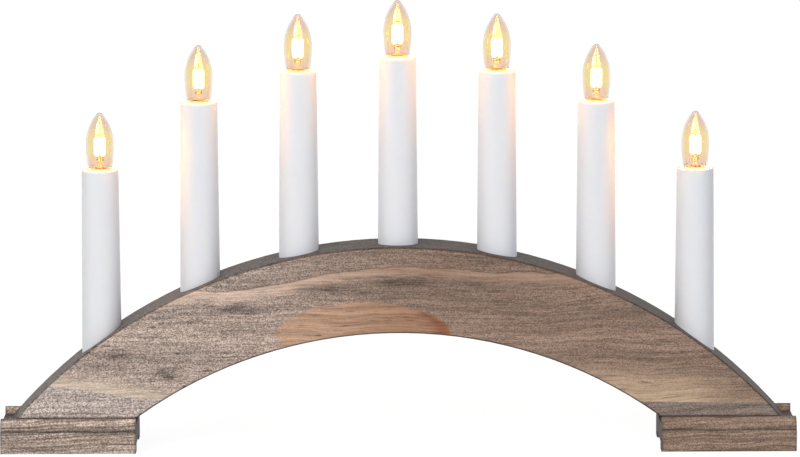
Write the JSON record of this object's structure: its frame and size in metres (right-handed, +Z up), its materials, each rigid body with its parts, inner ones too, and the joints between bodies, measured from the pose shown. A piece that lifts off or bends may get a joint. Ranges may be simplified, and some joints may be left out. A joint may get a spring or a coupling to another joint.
{
  "type": "candle arch",
  "caption": "Stained pine candle arch on two moulded feet, with white electric candles and clear screw-in bulbs",
  "frame": {"origin": "Centre of the footprint on the standing surface, midway between the feet and midway through the board", "axes": "+X along the arch to the viewer's right, +Y to the back, +Z up"},
  "size_m": [0.45, 0.054, 0.2542],
  "materials": {
    "stained_pine": "stained and matt varnished softwood",
    "cover_wood": "stained thin board",
    "candle_plastic": "smooth moulded, slightly translucent",
    "holder_plastic": "moulded, matt",
    "contact_brass": "bare sheet",
    "clear_glass": "clear, blown",
    "filament_phosphor": "coated rod, lit",
    "cap_nickel": "nickel plated brass",
    "base_insulator": "black vitrite",
    "screw_steel": "zinc plated",
    "wire_insulation": "white PVC insulation",
    "bushing_rubber": "soft, matt"
  },
  "bodies": {
    "arch": {"arch_board": "stained_pine", "left_foot": "stained_pine", "right_foot": "stained_pine", "foot_screws": "screw_steel", "rear_cover": "cover_wood", "cover_screws": "screw_steel", "cord_bushing": "bushing_rubber", "series_wires": "wire_insulation", "holder_shells": "contact_brass", "holder_contacts": "contact_brass", "candle_sleeve_1": "candle_plastic", "lamp_holder_1": "holder_plastic", "candle_sleeve_2": "candle_plastic", "lamp_holder_2": "holder_plastic", "candle_sleeve_3": "candle_plastic", "lamp_holder_3": "holder_plastic", "candle_sleeve_4": "candle_plastic", "lamp_holder_4": "holder_plastic", "candle_sleeve_5": "candle_plastic", "lamp_holder_5": "holder_plastic", "candle_sleeve_6": "candle_plastic", "lamp_holder_6": "holder_plastic", "candle_sleeve_7": "candle_plastic", "lamp_holder_7": "holder_plastic"},
    "bulb_1_base": {"bulb_contact_1": "base_insulator"},
    "bulb_1": {"bulb_glass_1": "clear_glass", "bulb_stem_1": "clear_glass", "bulb_filaments_1": "filament_phosphor", "bulb_cap_1": "cap_nickel"},
    "bulb_2_base": {"bulb_contact_2": "base_insulator"},
    "bulb_2": {"bulb_glass_2": "clear_glass", "bulb_stem_2": "clear_glass", "bulb_filaments_2": "filament_phosphor", "bulb_cap_2": "cap_nickel"},
    "bulb_3_base": {"bulb_contact_3": "base_insulator"},
    "bulb_3": {"bulb_glass_3": "clear_glass", "bulb_stem_3": "clear_glass", "bulb_filaments_3": "filament_phosphor", "bulb_cap_3": "cap_nickel"},
    "bulb_4_base": {"bulb_contact_4": "base_insulator"},
    "bulb_4": {"bulb_glass_4": "clear_glass", "bulb_stem_4": "clear_glass", "bulb_filaments_4": "filament_phosphor", "bulb_cap_4": "cap_nickel"},
    "bulb_5_base": {"bulb_contact_5": "base_insulator"},
    "bulb_5": {"bulb_glass_5": "clear_glass", "bulb_stem_5": "clear_glass", "bulb_filaments_5": "filament_phosphor", "bulb_cap_5": "cap_nickel"},
    "bulb_6_base": {"bulb_contact_6": "base_insulator"},
    "bulb_6": {"bulb_glass_6": "clear_glass", "bulb_stem_6": "clear_glass", "bulb_filaments_6": "filament_phosphor", "bulb_cap_6": "cap_nickel"},
    "bulb_7_base": {"bulb_contact_7": "base_insulator"},
    "bulb_7": {"bulb_glass_7": "clear_glass", "bulb_stem_7": "clear_glass", "bulb_filaments_7": "filament_phosphor", "bulb_cap_7": "cap_nickel"}
  },
  "joints": [
    {"name": "bulb_1_rise", "type": "slide", "parent": "arch", "child": "bulb_1_base", "axis": [0, 0, 1], "range_m": [0, 0.00726]},
    {"name": "bulb_1_turn", "type": "hinge", "parent": "bulb_1_base", "child": "bulb_1", "pos_m": [-0.1683, 0, 0.1586], "axis": [0, 0, 1], "range_deg": [0, 1440]},
    {"name": "bulb_2_rise", "type": "slide", "parent": "arch", "child": "bulb_2_base", "axis": [0, 0, 1], "range_m": [0, 0.00726]},
    {"name": "bulb_2_turn", "type": "hinge", "parent": "bulb_2_base", "child": "bulb_2", "pos_m": [-0.1122, 0, 0.1968], "axis": [0, 0, 1], "range_deg": [0, 1440]},
    {"name": "bulb_3_rise", "type": "slide", "parent": "arch", "child": "bulb_3_base", "axis": [0, 0, 1], "range_m": [0, 0.00726]},
    {"name": "bulb_3_turn", "type": "hinge", "parent": "bulb_3_base", "child": "bulb_3", "pos_m": [-0.0561, 0, 0.2142], "axis": [0, 0, 1], "range_deg": [0, 1440]},
    {"name": "bulb_4_rise", "type": "slide", "parent": "arch", "child": "bulb_4_base", "axis": [0, 0, 1], "range_m": [0, 0.00726]},
    {"name": "bulb_4_turn", "type": "hinge", "parent": "bulb_4_base", "child": "bulb_4", "pos_m": [0, 0, 0.222], "axis": [0, 0, 1], "range_deg": [0, 1440]},
    {"name": "bulb_5_rise", "type": "slide", "parent": "arch", "child": "bulb_5_base", "axis": [0, 0, 1], "range_m": [0, 0.00726]},
    {"name": "bulb_5_turn", "type": "hinge", "parent": "bulb_5_base", "child": "bulb_5", "pos_m": [0.0561, 0, 0.2142], "axis": [0, 0, 1], "range_deg": [0, 1440]},
    {"name": "bulb_6_rise", "type": "slide", "parent": "arch", "child": "bulb_6_base", "axis": [0, 0, 1], "range_m": [0, 0.00726]},
    {"name": "bulb_6_turn", "type": "hinge", "parent": "bulb_6_base", "child": "bulb_6", "pos_m": [0.1122, 0, 0.1968], "axis": [0, 0, 1], "range_deg": [0, 1440]},
    {"name": "bulb_7_rise", "type": "slide", "parent": "arch", "child": "bulb_7_base", "axis": [0, 0, 1], "range_m": [0, 0.00726]},
    {"name": "bulb_7_turn", "type": "hinge", "parent": "bulb_7_base", "child": "bulb_7", "pos_m": [0.1683, 0, 0.1586], "axis": [0, 0, 1], "range_deg": [0, 1440]}
  ],
  "couplings": [
    {"joint": "bulb_1_rise", "follows": "bulb_1_turn", "m_per_rad": 0.00028871},
    {"joint": "bulb_2_rise", "follows": "bulb_2_turn", "m_per_rad": 0.00028871},
    {"joint": "bulb_3_rise", "follows": "bulb_3_turn", "m_per_rad": 0.00028871},
    {"joint": "bulb_4_rise", "follows": "bulb_4_turn", "m_per_rad": 0.00028871},
    {"joint": "bulb_5_rise", "follows": "bulb_5_turn", "m_per_rad": 0.00028871},
    {"joint": "bulb_6_rise", "follows": "bulb_6_turn", "m_per_rad": 0.00028871},
    {"joint": "bulb_7_rise", "follows": "bulb_7_turn", "m_per_rad": 0.00028871}
  ]
}
